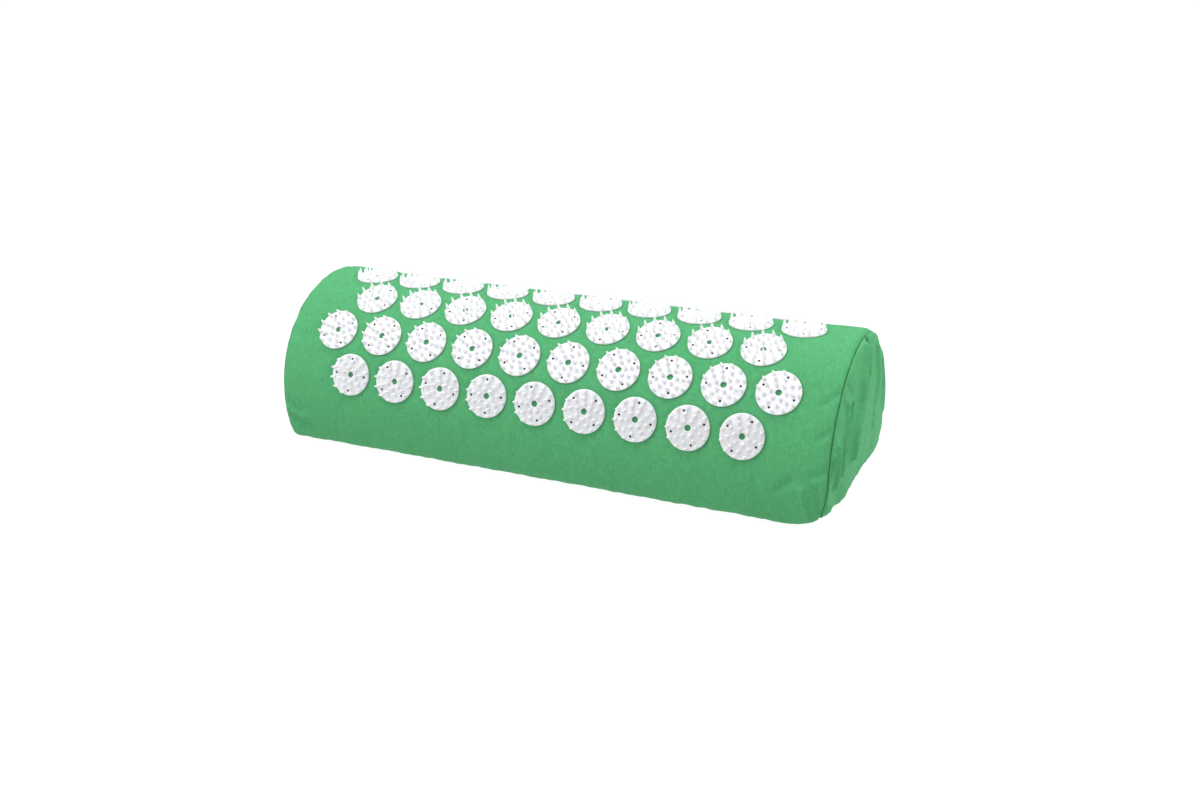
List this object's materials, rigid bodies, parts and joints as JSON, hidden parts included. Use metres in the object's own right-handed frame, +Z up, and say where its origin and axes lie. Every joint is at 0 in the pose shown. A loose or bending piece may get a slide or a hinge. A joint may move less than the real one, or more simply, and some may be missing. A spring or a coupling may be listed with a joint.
{
  "type": "acupressure bolster pillow",
  "caption": "D-section foam bolster in a sewn green cotton cover, its curved face set with rows of white plastic spiked discs; a zip runs low along the back.",
  "frame": {"origin": "centre of the base face, on the surface that the bolster stands on", "axes": "+X along the bolster to its right-hand end, -Y to the front, +Z up through the crest of the curved face"},
  "size_m": [0.4126, 0.1618, 0.1143],
  "materials": {
    "cover_cotton": "matte woven cotton",
    "foam": "open-cell foam",
    "disc_plastic": "satin moulded plastic",
    "zip_tape": "woven tape",
    "zip_coil": "dyed nylon",
    "zip_metal": "nickel-plated die casting"
  },
  "bodies": {
    "bolster": {"foam_core": "foam", "cover_curved_panel": "cover_cotton", "cover_base_panel": "cover_cotton", "cover_rear_strip": "cover_cotton", "cover_end_left": "cover_cotton", "cover_end_right": "cover_cotton", "disc_front_low_01": "disc_plastic", "disc_front_low_02": "disc_plastic", "disc_front_low_03": "disc_plastic", "disc_front_low_04": "disc_plastic", "disc_front_low_05": "disc_plastic", "disc_front_low_06": "disc_plastic", "disc_front_low_07": "disc_plastic", "disc_front_low_08": "disc_plastic", "disc_front_low_09": "disc_plastic", "disc_front_mid_01": "disc_plastic", "disc_front_mid_02": "disc_plastic", "disc_front_mid_03": "disc_plastic", "disc_front_mid_04": "disc_plastic", "disc_front_mid_05": "disc_plastic", "disc_front_mid_06": "disc_plastic", "disc_front_mid_07": "disc_plastic", "disc_front_mid_08": "disc_plastic", "disc_front_mid_09": "disc_plastic", "disc_front_mid_10": "disc_plastic", "disc_front_high_01": "disc_plastic", "disc_front_high_02": "disc_plastic", "disc_front_high_03": "disc_plastic", "disc_front_high_04": "disc_plastic", "disc_front_high_05": "disc_plastic", "disc_front_high_06": "disc_plastic", "disc_front_high_07": "disc_plastic", "disc_front_high_08": "disc_plastic", "disc_front_high_09": "disc_plastic", "disc_crest_01": "disc_plastic", "disc_crest_02": "disc_plastic", "disc_crest_03": "disc_plastic", "disc_crest_04": "disc_plastic", "disc_crest_05": "disc_plastic", "disc_crest_06": "disc_plastic", "disc_crest_07": "disc_plastic", "disc_crest_08": "disc_plastic", "disc_crest_09": "disc_plastic", "disc_crest_10": "disc_plastic", "discs_rear_high": "disc_plastic", "discs_rear_mid": "disc_plastic", "discs_rear_low": "disc_plastic", "zip_tape_upper": "zip_tape", "zip_tape_lower": "zip_tape", "zip_coil_upper": "zip_coil", "zip_coil_lower": "zip_coil", "zip_stop_left": "zip_metal", "zip_stop_right": "zip_metal"},
    "slider": {"zip_slider": "zip_metal"},
    "pull": {"zip_pull": "zip_metal"}
  },
  "joints": [
    {"name": "zip_slide", "type": "slide", "parent": "bolster", "child": "slider", "axis": [-1, 0, 0], "range_m": [0, 0.34]},
    {"name": "zip_pull_hinge", "type": "hinge", "parent": "slider", "child": "pull", "pos_m": [0.17, 0.07778, 0.02068], "axis": [0, -0.1564, -0.9877], "range_deg": [0, 175]}
  ]
}
